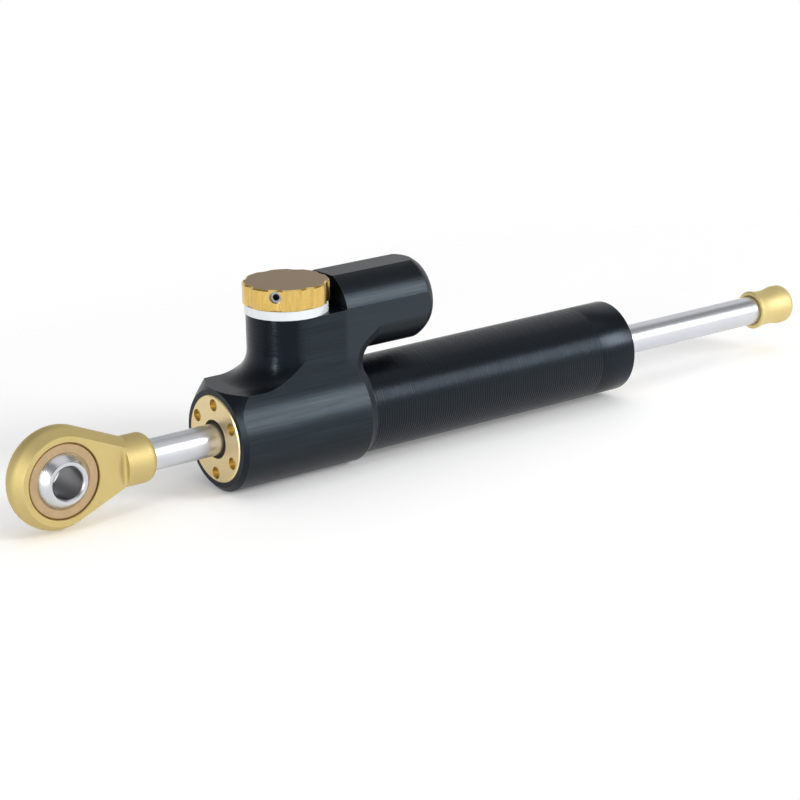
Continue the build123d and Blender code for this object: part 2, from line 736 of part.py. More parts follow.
# Knob, with a hub inside the ring, scallops and click dimples
knob_hub_r = ring_bore_r - knob_hub_clearance
with BuildPart() as adjuster_knob:
    with BuildSketch(Plane.XZ):
        upright_band(0, knob_r, knob_bottom, knob_top)
        upright_band(0, knob_hub_r, hub_bottom, knob_bottom)
        upright_band(0, spindle_stub_r + seat_gap, hub_bottom, knob_bore_top, Mode.SUBTRACT)
    revolve(axis=boss_axis)
    scallop_place_r = knob_r + scallop_r - scallop_depth
    with Locations(Plane((boss_x, 0, knob_bottom))):
        with PolarLocations(scallop_place_r, scallop_count, start_angle=scallop_turn):
            Cylinder(scallop_r, 2 * knob_height + cut_over, mode=Mode.SUBTRACT)
    chamfer(adjuster_knob.faces().sort_by(Axis.Z)[-1].edges(), length=knob_edge_break)
    foot = adjuster_knob.faces().filter_by(Axis.Z)
    foot = foot.filter_by(lambda face: abs(face.center().Z - knob_bottom) < seat_gap)[0]
    chamfer(foot.outer_wire().edges(), length=knob_foot_break)
    with Locations(Plane((boss_x, 0, click_ball_z))):
        Torus(click_circle_r, click_ball_r + running_gap, mode=Mode.SUBTRACT)
    with Locations(Plane((boss_x, 0, hub_bottom))):
        with PolarLocations(click_circle_r, click_count, start_angle=90):
            Cylinder(click_dimple_r, 2 * (click_ball_r - click_ball_sink + click_dimple_depth),
                     mode=Mode.SUBTRACT)
    grub_plane = Plane((boss_x, 0, grub_height),
                       x_dir=(0, 0, 1),
                       z_dir=(cos(radians(scallop_turn)), sin(radians(scallop_turn)), 0))
    with BuildSketch(grub_plane):
        Circle(grub_r + seat_gap)
    extrude(amount=knob_r, mode=Mode.SUBTRACT)
keep(adjuster_knob, "adjuster_knob")

spindle_flat = spindle_stub_r - spindle_flat_depth
grub_end_r = knob_r - scallop_depth - grub_recess
with BuildPart() as knob_grub_screw:
    with BuildSketch(grub_plane.offset(spindle_flat)):
        Circle(grub_r)
    extrude(amount=grub_end_r - spindle_flat)
    with BuildSketch(grub_plane.offset(grub_end_r - grub_socket_depth)):
        RegularPolygon(grub_socket_across / 2, 6, major_radius=False)
    extrude(amount=grub_socket_depth, mode=Mode.SUBTRACT)
keep(knob_grub_screw, "knob_grub_screw")

# Spindle under the knob
stub_top = knob_bore_top - running_gap
spindle_groove_r = spindle_r - spindle_groove_depth
with BuildPart() as adjuster_spindle:
    with BuildSketch(Plane.XZ):
        upright_band(0, spindle_r - running_gap, spindle_bottom + running_gap, hub_bottom)
        upright_band(0, spindle_stub_r, hub_bottom, stub_top)
        upright_band(0, spindle_thread_r, spindle_bottom, spindle_bottom + spindle_thread_length,
                     Mode.SUBTRACT)
        spindle_groove_z = upper_groove_z - spindle_groove_width / 2
        upright_band(spindle_groove_r, spindle_r, spindle_groove_z,
                     spindle_groove_z + spindle_groove_width, Mode.SUBTRACT)
    revolve(axis=boss_axis)
    with BuildSketch(grub_plane.offset(spindle_flat)):
        Rectangle(2 * grub_r + 2 * running_gap, 2 * spindle_stub_r)
    extrude(amount=spindle_stub_r, mode=Mode.SUBTRACT)
keep(adjuster_spindle, "adjuster_spindle")

with BuildPart() as spindle_o_ring:
    with Locations(Plane((boss_x, 0, upper_groove_z))):
        Torus((spindle_r + spindle_groove_r) / 2, (spindle_r - spindle_groove_r - seat_gap) / 2)
keep(spindle_o_ring, "spindle_o_ring")

# Seat of the needle valve
valve_groove_r = valve_r - valve_groove_depth
with BuildPart() as valve_cartridge:
    with BuildSketch(Plane.XZ):
        upright_band(0, valve_r, valve_floor, boss_top)
        upright_band(0, orifice_r, valve_floor, needle_chamber_z, Mode.SUBTRACT)
        upright_band(0, spindle_r, spindle_bottom, boss_top, Mode.SUBTRACT)
        for groove_z in (lower_groove_z, upper_groove_z):
            upright_band(valve_groove_r, valve_r, groove_z - valve_groove_width / 2,
                         groove_z + valve_groove_width / 2, Mode.SUBTRACT)
        upright_band(valve_r - valve_collector_depth, valve_r, port_height - valve_collector_width / 2,
                     port_height + valve_collector_width / 2, Mode.SUBTRACT)
    revolve(axis=boss_axis)
    with BuildSketch(Plane.XY.offset(needle_chamber_z)):
        with Locations((boss_x, 0)):
            Circle(needle_chamber_r)
            Rectangle(2 * needle_chamber_r, 2 * needle_key_half, mode=Mode.INTERSECT)
    extrude(amount=spindle_bottom - needle_chamber_z, mode=Mode.SUBTRACT)
    with Locations(Plane((boss_x, 0, port_height))):
        for turn in range(0, 360, 360 // valve_window_count):
            with Locations(Location((0, 0, 0), (0, 90, turn))):
                Cylinder(valve_window_r, valve_r, align=(Align.CENTER, Align.CENTER, Align.MIN),
                         mode=Mode.SUBTRACT)
keep(valve_cartridge, "valve_cartridge")

with BuildPart() as cartridge_o_rings:
    for groove_z in (lower_groove_z, upper_groove_z):
        with Locations(Plane((boss_x, 0, groove_z))):
            Torus((valve_r + valve_groove_r) / 2, (valve_r - valve_groove_r - seat_gap) / 2)
keep(cartridge_o_rings, "cartridge_o_rings")

# Needle: a keyed collar stops it turning, so the spindle's thread lifts it
with BuildPart() as adjuster_needle:
    with BuildSketch(Plane.XZ):
        with BuildLine():
            needle_tip = valve_floor + needle_tip_rise
            needle_top = spindle_bottom + needle_grip
            key_z = needle_tip + needle_cone_length
            key_top = key_z + needle_collar_length
            shank_x = boss_x + spindle_thread_r - needle_shank_gap
            key_x = boss_x + needle_chamber_r - running_gap
            Polyline((boss_x, needle_tip), (boss_x + needle_tip_r, needle_tip), (shank_x, key_z),
                     (key_x, key_z), (key_x, key_top), (shank_x, key_top), (shank_x, needle_top),
                     (boss_x, needle_top), close=True)
        make_face()
    revolve(axis=boss_axis)
    with BuildSketch(Plane.XY.offset(needle_tip)):
        with Locations((boss_x, 0)):
            Rectangle(2 * needle_chamber_r, 2 * (needle_key_half - running_gap))
    extrude(amount=needle_top - needle_tip, mode=Mode.INTERSECT)
keep(adjuster_needle, "adjuster_needle")

# Click ball and its spring
with BuildPart() as detent_ball:
    with Locations((boss_x, click_circle_r, click_ball_z)):
        Sphere(click_ball_r)
keep(detent_ball, "detent_ball")

click_floor = boss_top - click_hole_depth
click_spring_r = click_ball_r - 2 * click_wire_r
click_spring_length = click_ball_z - click_ball_r - click_floor - 2 * (click_wire_r + seat_gap)
with BuildPart() as detent_spring:
    add(coil((boss_x, click_circle_r, click_floor + click_wire_r + seat_gap), (0, 0, 1),
             click_spring_r, click_wire_r, click_spring_length, click_spring_turns))
keep(detent_spring, "detent_spring")

# Reservoir: cap, snap ring, piston, seals and spring
reservoir_groove_r = reservoir_bore_r - reservoir_groove_depth
compensator_cup_r = reservoir_bore_r - compensator_wall


def bore_band(x_from, x_to, r_from, r_to, mode=Mode.ADD):
    """Add a rectangle to a profile that turns round the reservoir's axis."""
    band(x_from, x_to, reservoir_bore_axis + r_from, reservoir_bore_axis + r_to, mode)


def seal_groove(piece_x):
    """Cut the seal's groove in a profile that starts at one place on X."""
    groove_x = piece_x + reservoir_o_ring_place - reservoir_groove_width / 2
    bore_band(groove_x, groove_x + reservoir_groove_width, reservoir_groove_r, reservoir_bore_r,
              Mode.SUBTRACT)


with BuildPart() as reservoir_cap:
    with BuildSketch(Plane.XZ):
        bore_band(reservoir_cap_x, snap_ring_x, 0, reservoir_bore_r)
        seal_groove(reservoir_cap_x)
    revolve(axis=bore_axis)
    with Locations(Plane((snap_ring_x, 0, reservoir_bore_axis), x_dir=(0, 1, 0), z_dir=(1, 0, 0))):
        with PolarLocations(reservoir_bore_r - reservoir_cap_hole_inset, 2):
            Cylinder(reservoir_cap_hole_r, reservoir_cap_hole_depth,
                     align=(Align.CENTER, Align.CENTER, Align.MAX), mode=Mode.SUBTRACT)
keep(reservoir_cap, "reservoir_cap")

with BuildPart() as compensator_piston:
    with BuildSketch(Plane.XZ):
        compensator_end_x = compensator_x + compensator_length
        bore_band(compensator_x, compensator_end_x, 0, reservoir_bore_r - running_gap)
        seal_groove(compensator_x)
        bore_band(compensator_x + compensator_floor, compensator_end_x, 0, compensator_cup_r,
                  Mode.SUBTRACT)
    revolve(axis=bore_axis)
keep(compensator_piston, "compensator_piston")

for seal_name, piece_x in (("reservoir_o_ring", reservoir_cap_x), ("compensator_o_ring", compensator_x)):
    with BuildPart() as reservoir_seal:
        with Locations(Plane((piece_x + reservoir_o_ring_place, 0, reservoir_bore_axis),
                             x_dir=(0, 1, 0), z_dir=(1, 0, 0))):
            Torus((reservoir_bore_r + reservoir_groove_r) / 2,
                  (reservoir_bore_r - reservoir_groove_r - seat_gap) / 2)
    keep(reservoir_seal, seal_name)

with BuildPart() as reservoir_snap_ring:
    add(open_ring(snap_ring_x, snap_ring_thickness, reservoir_bore_r - snap_ring_half_width,
                  reservoir_bore_r + snap_ring_half_width, snap_ring_gap_angle, reservoir_bore_axis))
keep(reservoir_snap_ring, "reservoir_snap_ring")

spring_start = compensator_x + compensator_floor + spring_wire_r + seat_gap
spring_length = reservoir_cap_x - spring_wire_r - seat_gap - spring_start
with BuildPart() as compensator_spring:
    add(coil((spring_start, 0, reservoir_bore_axis), (1, 0, 0), compensator_cup_r - spring_inset,
             spring_wire_r, spring_length, spring_turns))
keep(compensator_spring, "compensator_spring")

print(f"{len(pieces)} pieces, stroke {stroke:.1f} mm, piston room {piston_room:.2f} mm")
print(f"front face at {front_x:.2f}, eye at {eye_x:.2f}, boss at {boss_x:.2f}, cap at {cap_x:.2f}")
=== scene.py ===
"""Looks of the steering damper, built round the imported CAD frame. Lengths are in metres."""
from math import cos, pi, radians, sin

import bpy
from mathutils import Matrix, Vector


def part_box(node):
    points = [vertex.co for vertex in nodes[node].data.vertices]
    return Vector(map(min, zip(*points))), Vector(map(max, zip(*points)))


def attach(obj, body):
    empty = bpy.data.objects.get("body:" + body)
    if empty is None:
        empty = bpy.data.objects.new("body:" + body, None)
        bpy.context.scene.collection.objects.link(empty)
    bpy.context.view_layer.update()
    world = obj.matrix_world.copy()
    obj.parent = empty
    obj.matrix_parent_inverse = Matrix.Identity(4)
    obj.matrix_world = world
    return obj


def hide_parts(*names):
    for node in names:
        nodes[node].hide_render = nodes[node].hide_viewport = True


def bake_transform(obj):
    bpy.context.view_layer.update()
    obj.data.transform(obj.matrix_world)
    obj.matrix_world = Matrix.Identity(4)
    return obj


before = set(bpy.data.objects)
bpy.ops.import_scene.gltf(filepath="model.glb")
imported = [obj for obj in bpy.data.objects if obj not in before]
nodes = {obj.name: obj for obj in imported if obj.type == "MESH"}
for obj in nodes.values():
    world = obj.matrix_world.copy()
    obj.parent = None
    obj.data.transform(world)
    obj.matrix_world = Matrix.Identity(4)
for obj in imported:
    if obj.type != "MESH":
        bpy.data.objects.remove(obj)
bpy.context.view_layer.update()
MM = 0.001

# Places read from the frame
KNOB_LOW, KNOB_HIGH = (Vector(p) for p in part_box("adjuster_knob"))
TUBE_LOW, TUBE_HIGH = (Vector(p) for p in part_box("damper_tube"))
RACE_LOW, RACE_HIGH = (Vector(p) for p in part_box("bearing_race"))
HOUSING_LOW = Vector(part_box("housing")[0])
KNOB_X = (KNOB_LOW.x + KNOB_HIGH.x) / 2
EYE_X = (RACE_LOW.x + RACE_HIGH.x) / 2
TUBE_R = TUBE_HIGH.z
FLOOR_Z = HOUSING_LOW.z


# Camera, as fitted to the photograph
CAMERA_PLACE = (-0.39942, -0.50457, 0.19647)
CAMERA_AZ, CAMERA_EL, CAMERA_ROLL = radians(-36.408), radians(17.521), radians(-1.099)
LENS_MM = 114.35
SENSOR_MM = 36.0
CLIP_NEAR, CLIP_FAR = 0.01, 20.0


def outward(azimuth, elevation):
    """The direction from the object to a place round it. Azimuth 0 is -Y, and grows towards +X."""
    level = cos(elevation)
    return Vector((sin(azimuth) * level, -cos(azimuth) * level, sin(elevation)))


back = outward(CAMERA_AZ, CAMERA_EL)
right = Vector((0, 0, 1)).cross(back).normalized()
up = back.cross(right)
rolled_right = right * cos(CAMERA_ROLL) + up * sin(CAMERA_ROLL)
rolled_up = up * cos(CAMERA_ROLL) - right * sin(CAMERA_ROLL)
camera_data = bpy.data.cameras.new("camera")
camera_data.lens = LENS_MM
camera_data.sensor_width = SENSOR_MM
camera_data.clip_start = CLIP_NEAR
camera_data.clip_end = CLIP_FAR
camera = bpy.data.objects.new("camera", camera_data)
camera_turn = Matrix((rolled_right, rolled_up, back)).transposed()
camera.matrix_world = Matrix.Translation(CAMERA_PLACE) @ camera_turn.to_4x4()
bpy.context.scene.collection.objects.link(camera)
bpy.context.scene.camera = camera


# Node helpers
NOISE_LOW, NOISE_HIGH = 0.3, 0.7
EDGE_FADE = 0.11
EDGE_SAMPLES = 4
METAL, NOT_METAL = 1.0, 0.0


class Nodes:
    """A material's node tree, with short calls for the nodes used here."""

    def __init__(self, name):
        self.material = bpy.data.materials.new(name)
        self.material.use_nodes = True
        self.tree = self.material.node_tree
        self.shader = self.tree.nodes["Principled BSDF"]
        coords = self.tree.nodes.new("ShaderNodeTexCoord")
        self.place = coords.outputs["Object"]

    def link(self, source, target):
        """Feed a socket from another socket or a plain value."""
        if isinstance(source, bpy.types.NodeSocket):
            self.tree.links.new(source, target)
        else:
            target.default_value = source

    def put(self, name, value):
        """Feed one of the shader's sockets."""
        self.link(colour(value), self.shader.inputs[name])

    def math(self, operation, a, b=0.0):
        """One math node."""
        node = self.tree.nodes.new("ShaderNodeMath")
        node.operation = operation
        for socket, value in zip(node.inputs, (a, b)):
            self.link(value, socket)
        return node.outputs[0]

    def times(self, a, b):
        """The product of two values."""
        return self.math("MULTIPLY", a, b)

    def split(self, vector):
        """The three parts of a vector."""
        node = self.tree.nodes.new("ShaderNodeSeparateXYZ")
        self.link(vector, node.inputs[0])
        return node.outputs

    def join(self, x, y, z):
        """A vector from three parts."""
        node = self.tree.nodes.new("ShaderNodeCombineXYZ")
        for socket, value in zip(node.inputs, (x, y, z)):
            self.link(value, socket)
        return node.outputs[0]

    def noise(self, vector, scale, detail, roughness=0.55):
        """A noise value between 0 and 1."""
        node = self.tree.nodes.new("ShaderNodeTexNoise")
        self.link(vector, node.inputs["Vector"])
        node.inputs["Scale"].default_value = scale
        node.inputs["Detail"].default_value = detail
        node.inputs["Roughness"].default_value = roughness
        return node.outputs["Fac"]

    def lines(self, detail, first, second=None, third=None):
        """Noise over up to three pairs of a value and its density, drawn out where it is thin."""
        parts = [self.times(*pair) if pair else 0.0 for pair in (first, second, third)]
        return self.noise(self.join(*parts), 1.0, detail)

    def spread(self, value, from_low, from_high, to_low, to_high):
        """Map one range of a value to another, held at its ends."""
        node = self.tree.nodes.new("ShaderNodeMapRange")
        self.link(value, node.inputs["Value"])
        limits = (from_low, from_high, to_low, to_high)
        for name, limit in zip(("From Min", "From Max", "To Min", "To Max"), limits):
            node.inputs[name].default_value = limit
        return node.outputs["Result"]

    def rise(self, value, low, high):
        """Zero up to low, and one from high."""
        return self.spread(value, low, high, 0.0, 1.0)

    def fall(self, value, low, high):
        """One up to low, and zero from high."""
        return self.spread(value, low, high, 1.0, 0.0)

    def vary(self, noise, low, high):
        """A noise's usual range, mapped to another."""
        return self.spread(noise, NOISE_LOW, NOISE_HIGH, low, high)

    def between(self, kind, share, first, second):
        """A mix node of one kind."""
        node = self.tree.nodes.new("ShaderNodeMix")
        node.data_type = kind
        for name, value in zip(("Factor", "A", "B"), (share, first, second)):
            self.link(value, node.inputs[name])
        return node.outputs["Result"]

    def mix(self, share, first, second):
        """A colour between two colours."""
        return self.between("RGBA", share, colour(first), colour(second))

    def blend(self, share, first, second):
        """A value between two values."""
        return self.between("FLOAT", share, first, second)

    def bump(self, height, strength, distance):
        """A bumped normal on the shader."""
        node = self.tree.nodes.new("ShaderNodeBump")
        node.inputs["Strength"].default_value = strength
        node.inputs["Distance"].default_value = distance
        self.link(height, node.inputs["Height"])
        self.put("Normal", node.outputs["Normal"])

    def edge(self, radius, softest=0.99):
        """One along sharp edges, where they wear and carry a painted highlight, and zero
        elsewhere.
        """
        bevel = self.tree.nodes.new("ShaderNodeBevel")
        bevel.samples = EDGE_SAMPLES
        bevel.inputs["Radius"].default_value = radius
        geometry = self.tree.nodes.new("ShaderNodeNewGeometry")
        agree = self.tree.nodes.new("ShaderNodeVectorMath")
        agree.operation = "DOT_PRODUCT"
        self.link(bevel.outputs["Normal"], agree.inputs[0])
        self.link(geometry.outputs["Normal"], agree.inputs[1])
        return self.fall(agree.outputs["Value"], softest - EDGE_FADE, softest)

    def facing(self, axis):
        """One part of the surface's own direction, in the row frame."""
        geometry = self.tree.nodes.new("ShaderNodeNewGeometry")
        turned = self.tree.nodes.new("ShaderNodeVectorTransform")
        turned.vector_type = "NORMAL"
        turned.convert_from = "WORLD"
        turned.convert_to = "OBJECT"
        self.link(geometry.outputs["Normal"], turned.inputs[0])
        return self.split(turned.outputs[0])[axis]

    def seen(self):
        """One for what the camera, metal and glass show, and zero for light on the object."""
        paths = self.tree.nodes.new("ShaderNodeLightPath").outputs
        shiny = self.math("MAXIMUM", paths["Is Glossy Ray"], paths["Is Transmission Ray"])
        return self.math("MAXIMUM", shiny, paths["Is Camera Ray"])

    def length(self, across, along):
        """The length of two parts at right angles."""
        squares = self.times(across, across), self.times(along, along)
        return self.math("SQRT", self.math("ADD", *squares))

    def finish(self, base, rough, metallic):
        """Set the three main sockets."""
        self.put("Base Color", base)
        self.put("Roughness", rough)
        self.put("Metallic", metallic)
        return self.material


def colour(value):
    """A colour of three numbers gets its alpha."""
    if isinstance(value, tuple):
        return (*value, 1.0)
    return value


def paint(material, *names):
    """Give CAD nodes a material."""
    for name in names:
        data = nodes[name].data
        data.materials.clear()
        data.materials.append(material)


# Colours are linear. A pair of them is what a noise runs between, and so is a pair of roughnesses.
# A bump is a strength and a height, and a density is how many noise cells lie on a metre.
# A facing is the share of a surface's direction at which a mask starts, and at which it is full.
# A wear and glint is a range of noise, then the shares of an edge that are worn and painted with a
# highlight at its two ends.

# Black anodising: turned on the boss, the nose and the tube, and milled on the sides, on the
# cylinder below the swoop, and on the reservoir
BLACK_SPECULAR = 0.29
MILLED_TINT = (0.70, 0.86, 1.00)
# A darker reflection tint for the boss, nose and swoop than for the milled sides: painted shade.
TURNED_PAINTED_SHADE_TINT = (0.44, 0.55, 0.68)
TUBE_TINT = (0.60, 0.74, 0.88)
TURNED_DYES = (0.0016, 0.0023, 0.0036), (0.0032, 0.0043, 0.0062)
MILLED_DYES = (0.0030, 0.0046, 0.0062), (0.0125, 0.0175, 0.0220)
# The reservoir's sides get a lighter black than the other milled sides: painted light.
RESERVOIR_PAINTED_LIGHT_DYES = (0.016, 0.020, 0.025), (0.024, 0.030, 0.036)
TUBE_DYES = (0.0022, 0.0032, 0.0050), (0.0042, 0.0058, 0.0082)
# Paler black for the edges: wear, and a painted highlight along them.
WORN_AND_GLINT_DYE = (0.050, 0.060, 0.069)
TURNED_ROUGH = 0.19, 0.26
MILLED_ROUGH = 0.30, 0.38
TUBE_ROUGH = 0.22, 0.29
HOUSING_BUMP = 1.0, 0.06 * MM
TUBE_BUMP = 0.4, 0.02 * MM
MILLED_BUMP_SHARE = 0.45
HOUSING_EDGE = 0.25 * MM
HOUSING_WEAR_AND_GLINT = 0.35, 0.65, 0.25, 1.0
SIDE_FACING = 0.93, 0.99
BOSS_R = 10.2 * MM
BOSS_FADE = 1.5 * MM
SWOOP_Z = 13.5 * MM
SWOOP_FADE_BELOW, SWOOP_FADE_ABOVE = 1.0 * MM, 1.5 * MM
RESERVOIR_FADE = 4.0 * MM
MILLING_ALONG, MILLING_ACROSS = 60.0, 4200.0
STREAKS_ALONG, STREAKS_ACROSS = 45.0, 1500.0
TURNING_DENSITY = 7000.0
TUBE_TURNING_DENSITY = 5000.0
HOUSING_CLOUD_DENSITY = 90.0
TUBE_CLOUD_DENSITY = 60.0


def black_housing():
    """Turned round the boss's axis, milled along X elsewhere, with edges lightened by wear and a
    painted highlight.
    """
    n = Nodes("black_housing")
    x, y, z = n.split(n.place)
    from_x = n.math("SUBTRACT", x, KNOB_X)
    side = n.rise(n.math("ABSOLUTE", n.facing("Y")), *SIDE_FACING)
    beyond = n.rise(from_x, BOSS_R, BOSS_R + BOSS_FADE)
    below = n.fall(z, SWOOP_Z - SWOOP_FADE_BELOW, SWOOP_Z + SWOOP_FADE_ABOVE)
    lengthwise = n.math("MAXIMUM", n.math("MAXIMUM", side, beyond), below)

    milled = n.lines(3.0, (x, MILLING_ALONG), (y, MILLING_ACROSS), (z, MILLING_ACROSS))
    turned = n.lines(2.0, (n.length(from_x, y), TURNING_DENSITY), None, (z, TURNING_DENSITY))
    streaks = n.lines(4.0, (x, STREAKS_ALONG), None, (z, STREAKS_ACROSS))
    cloud = n.noise(n.place, HOUSING_CLOUD_DENSITY, 2.0)

    turned_dye = n.mix(cloud, *TURNED_DYES)
    milled_dye = n.mix(n.vary(streaks, 0.0, 1.0), *MILLED_DYES)
    # Painted light: the reservoir's sides are given the lighter black.
    painted_light_on_reservoir = n.times(beyond, n.rise(z, SWOOP_Z, SWOOP_Z + RESERVOIR_FADE))
    side_dye_and_painted_light = n.mix(painted_light_on_reservoir, milled_dye, n.mix(milled, *RESERVOIR_PAINTED_LIGHT_DYES))
    # The edges are lightened: wear, and a painted highlight along them.
    worn_and_glint = n.times(n.edge(HOUSING_EDGE), n.spread(cloud, *HOUSING_WEAR_AND_GLINT))
    rough = n.blend(lengthwise, n.vary(turned, *TURNED_ROUGH), n.vary(milled, *MILLED_ROUGH))

    n.bump(n.blend(lengthwise, turned, n.times(milled, MILLED_BUMP_SHARE)), *HOUSING_BUMP)
    n.put("Specular IOR Level", BLACK_SPECULAR)
    # The darker tint on the boss, nose and swoop is painted shade in their reflections.
    n.put("Specular Tint", n.mix(lengthwise, TURNED_PAINTED_SHADE_TINT, MILLED_TINT))
    dye_and_painted_lighting = n.mix(worn_and_glint, n.mix(side, turned_dye, side_dye_and_painted_light), WORN_AND_GLINT_DYE)
    return n.finish(dye_and_painted_lighting, rough, NOT_METAL)


def black_tube():
    """Fine turning lines on the grooved tube."""
    n = Nodes("black_tube")
    x = n.split(n.place)["X"]
    turned = n.lines(2.0, (x, TUBE_TURNING_DENSITY))
    cloud = n.noise(n.place, TUBE_CLOUD_DENSITY, 2.0)
    n.bump(turned, *TUBE_BUMP)
    n.put("Specular IOR Level", BLACK_SPECULAR)
    n.put("Specular Tint", TUBE_TINT)
    return n.finish(n.mix(cloud, *TUBE_DYES), n.vary(turned, *TUBE_ROUGH), NOT_METAL)


# Gold anodising: blasted on the rod end and the cap, bright on the knob, faced on the gland
BLAST_DENSITY = 2600.0
BLAST_NOISE_ROUGHNESS = 0.6
BLAST_CLOUD_DENSITY = 110.0
BLAST_ROUGH = 0.56, 0.66
BLAST_BUMP = 0.20, 0.04 * MM
BLAST_EDGE = 0.22 * MM
BLAST_EDGE_SOFTEST = 0.998
BLAST_WEAR_AND_GLINT = 0.35, 0.6, 0.3, 0.9
RUBBED_GLINT_GAIN = 1.25


def blasted_gold(name, dyes):
    """Fine blasted grain, brighter along edges: wear, and a painted highlight."""
    n = Nodes(name)
    grain = n.noise(n.place, BLAST_DENSITY, 3.0, BLAST_NOISE_ROUGHNESS)
    cloud = n.noise(n.place, BLAST_CLOUD_DENSITY, 4.0)
    # The edges get a brighter gold: wear, and a painted highlight along them.
    rubbed_and_glint = n.times(n.edge(BLAST_EDGE, BLAST_EDGE_SOFTEST), n.spread(cloud, *BLAST_WEAR_AND_GLINT))
    bright = tuple(min(RUBBED_GLINT_GAIN * part, 1.0) for part in dyes[1])
    n.bump(grain, *BLAST_BUMP)
    return n.finish(n.mix(rubbed_and_glint, n.mix(cloud, *dyes), bright), n.vary(grain, *BLAST_ROUGH), METAL)


KNOB_SIDE_DYES = (0.64, 0.42, 0.11), (0.80, 0.56, 0.18)
# The knob's top gets a much darker brown than its side: painted shade.
KNOB_TOP_PAINTED_SHADE_DYES = (0.26, 0.173, 0.086), (0.33, 0.225, 0.118)
# Paler gold on the knob's edges: wear, and a painted highlight.
KNOB_RUBBED_GLINT_DYE = (0.90, 0.68, 0.30)
KNOB_SIDE_ROUGH = 0.20, 0.30
KNOB_FACE_ROUGH = 0.36, 0.48
KNOB_BUMP = 0.06, 0.03 * MM
KNOB_EDGE = 0.25 * MM
KNOB_RUBBED_GLINT_SHARE = 0.55
KNOB_TOP_FACING = 0.85, 0.98
KNOB_RING_DENSITY = 5200.0
# To a radian, and to a metre
KNOB_STROKES_ROUND, KNOB_STROKES_UP = 16.0, 150.0


def knob_gold():
    """Rings on the top, which is painted a darker brown as shade, and upright strokes round the
    side.
    """
    n = Nodes("knob_gold")
    x, y, z = n.split(n.place)
    from_x = n.math("SUBTRACT", x, KNOB_X)
    top = n.rise(n.facing("Z"), *KNOB_TOP_FACING)
    rings = n.lines(2.0, (n.length(from_x, y), KNOB_RING_DENSITY))
    angle = n.math("ARCTAN2", y, from_x)
    strokes = n.lines(3.0, (angle, KNOB_STROKES_ROUND), None, (z, KNOB_STROKES_UP))
    side = n.mix(n.vary(strokes, 0.0, 1.0), *KNOB_SIDE_DYES)
    # The top is painted a much darker brown than the side: painted shade.
    face = n.mix(rings, *KNOB_TOP_PAINTED_SHADE_DYES)
    # The knob's edges get a paler gold: wear, and a painted highlight along them.
    rubbed_and_glint = n.times(n.edge(KNOB_EDGE), KNOB_RUBBED_GLINT_SHARE)
    rough = n.blend(top, n.vary(strokes, *KNOB_SIDE_ROUGH), n.vary(rings, *KNOB_FACE_ROUGH))
    n.bump(n.blend(top, strokes, rings), *KNOB_BUMP)
    return n.finish(n.mix(rubbed_and_glint, n.mix(top, side, face), KNOB_RUBBED_GLINT_DYE), rough, METAL)


GLAND_FACE_DYES = (0.76, 0.60, 0.33), (0.84, 0.68, 0.39)
# A lighter gold than the face's for the holes and other surfaces: painted light.
GLAND_HOLE_PAINTED_LIGHT_DYES = (0.88, 0.71, 0.34), (0.94, 0.79, 0.42)
GLAND_ROUGH = 0.30, 0.42
GLAND_BUMP = 0.10, 0.03 * MM
GLAND_FACING = 0.9, 0.99
GLAND_RING_DENSITY = 4200.0


def gland_gold():
    """Rings on the face, and a lighter gold painted in the holes and on the other surfaces:
    painted light.
    """
    n = Nodes("gland_gold")
    x, y, z = n.split(n.place)
    face = n.rise(n.math("ABSOLUTE", n.facing("X")), *GLAND_FACING)
    rings = n.lines(2.0, (n.length(z, y), GLAND_RING_DENSITY))
    n.bump(rings, *GLAND_BUMP)
    # Off the face, the lighter gold is painted light in the holes.
    dye_and_painted_lighting = n.mix(face, n.mix(rings, *GLAND_HOLE_PAINTED_LIGHT_DYES), n.mix(rings, *GLAND_FACE_DYES))
    return n.finish(dye_and_painted_lighting, n.vary(rings, *GLAND_ROUGH), METAL)


# Bare metals
POLISH_CLOUD_DENSITY = 140.0
POLISH_DARKER = 0.9
POLISH_BUMP = 0.03, 0.02 * MM
POLISH_DENSITY = 5000.0


def polished(name, base, rough, density=POLISH_DENSITY):
    """Turned along X and polished."""
    n = Nodes(name)
    turned = n.lines(2.0, (n.split(n.place)["X"], density))
    cloud = n.noise(n.place, POLISH_CLOUD_DENSITY, 2.0)
    darker = tuple(POLISH_DARKER * part for part in base)
    n.bump(turned, *POLISH_BUMP)
    return n.finish(n.mix(cloud, darker, base), n.vary(turned, *rough), METAL)


BALL_DYES = (0.54, 0.55, 0.58), (0.65, 0.66, 0.69)
# The ball's bore is painted dark grey: painted shade.
BALL_BORE_PAINTED_SHADE = (0.20, 0.20, 0.21)
BALL_ROUGH = 0.22, 0.30
BALL_BORE_ROUGH = 0.36
BALL_BUMP = 0.05, 0.02 * MM
BALL_BORE_R = 4.0 * MM
BALL_BORE_FADE = 0.06 * MM, 0.22 * MM
BALL_RING_DENSITY = 5000.0


def ball_steel():
    """A bright ball, with painted shade in its darker bore."""
    n = Nodes("ball_steel")
    x, y, z = n.split(n.place)
    radius = n.length(n.math("SUBTRACT", x, EYE_X), z)
    rings = n.lines(2.0, (y, BALL_RING_DENSITY))
    bore = n.fall(radius, *(BALL_BORE_R + past for past in BALL_BORE_FADE))
    rough = n.blend(bore, n.vary(rings, *BALL_ROUGH), BALL_BORE_ROUGH)
    n.bump(rings, *BALL_BUMP)
    # Painted shade: the bore gets the dark grey.
    return n.finish(n.mix(bore, n.mix(rings, *BALL_DYES), BALL_BORE_PAINTED_SHADE), rough, METAL)


GRUB_RIM_DYES = (0.26, 0.265, 0.28), (0.36, 0.365, 0.38)
